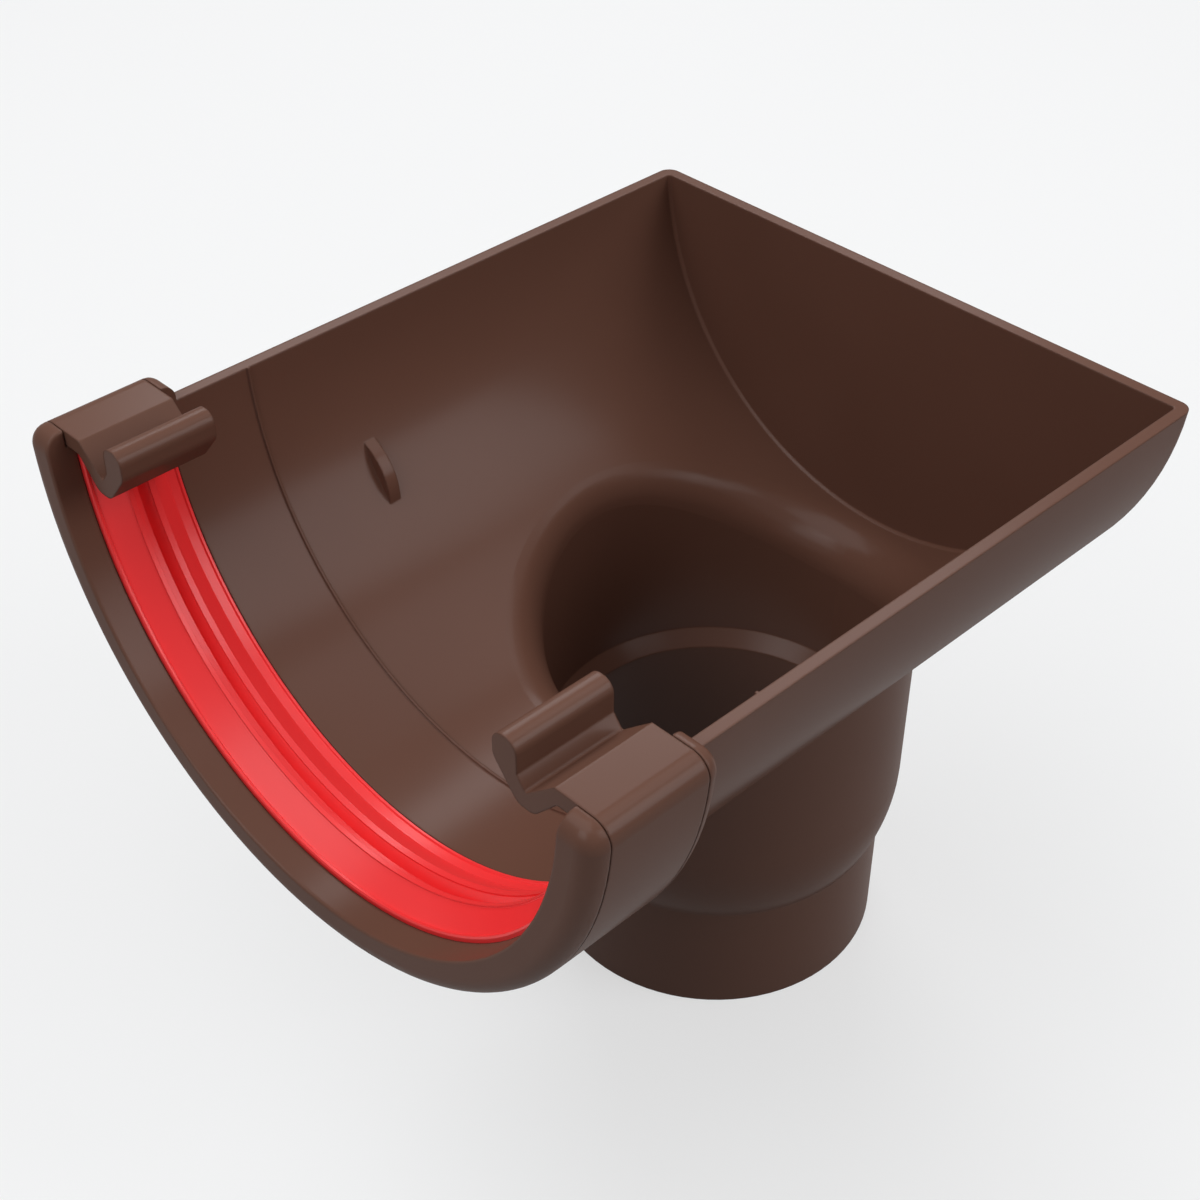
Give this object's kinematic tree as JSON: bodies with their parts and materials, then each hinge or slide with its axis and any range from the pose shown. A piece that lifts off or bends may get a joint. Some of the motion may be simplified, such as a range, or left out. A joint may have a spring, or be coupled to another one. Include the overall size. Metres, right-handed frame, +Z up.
{
  "type": "gutter stop end outlet",
  "caption": "Half-round gutter outlet closed by a flat stop end, with a stepped downpipe spigot below and a sealed snap-strap socket for the gutter.",
  "frame": {"origin": "middle of the spigot's foot, on the surface that the part stands on", "axes": "+X along the gutter towards the stop end, +Z up along the spigot's axis, +Y across the trough"},
  "size_m": [0.1414, 0.1286, 0.1267],
  "materials": {
    "brown_plastic": "satin moulded plastic",
    "red_rubber": "smooth"
  },
  "bodies": {
    "root": {"outlet_body": "brown_plastic", "retaining_strap": "brown_plastic", "gutter_seal": "red_rubber"}
  },
  "joints": []
}
